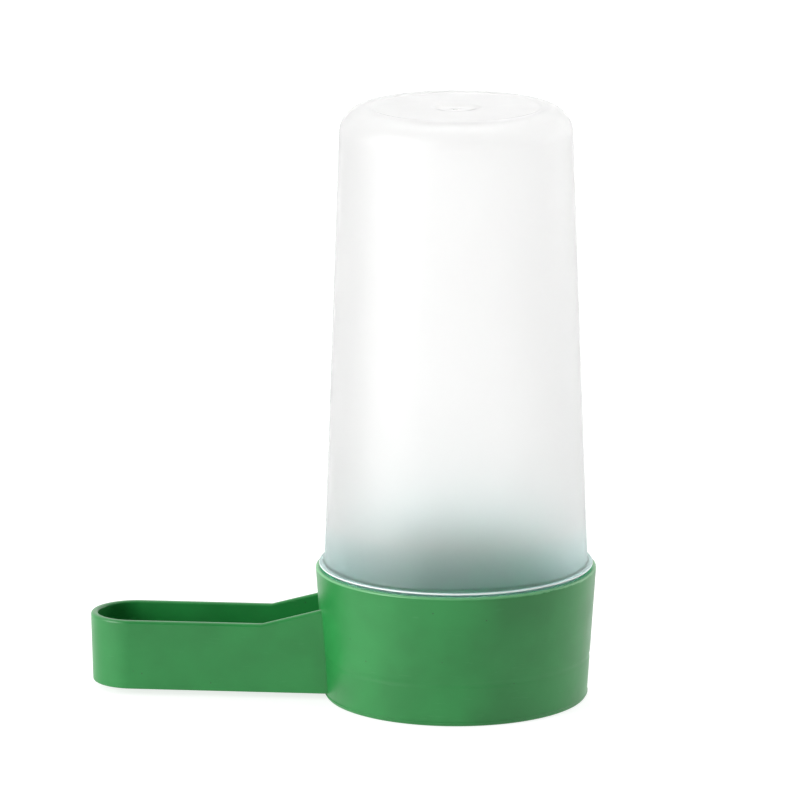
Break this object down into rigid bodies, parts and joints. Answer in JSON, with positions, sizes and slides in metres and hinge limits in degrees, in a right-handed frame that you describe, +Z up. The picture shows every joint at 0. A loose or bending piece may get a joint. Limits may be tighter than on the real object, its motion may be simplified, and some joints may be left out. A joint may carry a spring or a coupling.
{
  "type": "gravity drinker for small birds",
  "caption": "Translucent bottle that stands upside down in a round moulded base with a drinking trough on one side, which it keeps filled by gravity.",
  "frame": {"origin": "centre of the base cup's flat foot, on the cup's axis", "axes": "+Z up along the bottle's axis; the drinking trough points along -X"},
  "size_m": [0.0981, 0.054, 0.115],
  "materials": {
    "milky_plastic": "translucent milky polypropylene, satin",
    "green_plastic": "green polypropylene, satin"
  },
  "bodies": {
    "base": {"trough_base": "green_plastic"},
    "bottle": {"reservoir": "milky_plastic"}
  },
  "joints": [
    {"name": "bottle_lift", "type": "slide", "parent": "base", "child": "bottle", "axis": [0, 0, 1], "range_m": [0, 0.025]}
  ]
}
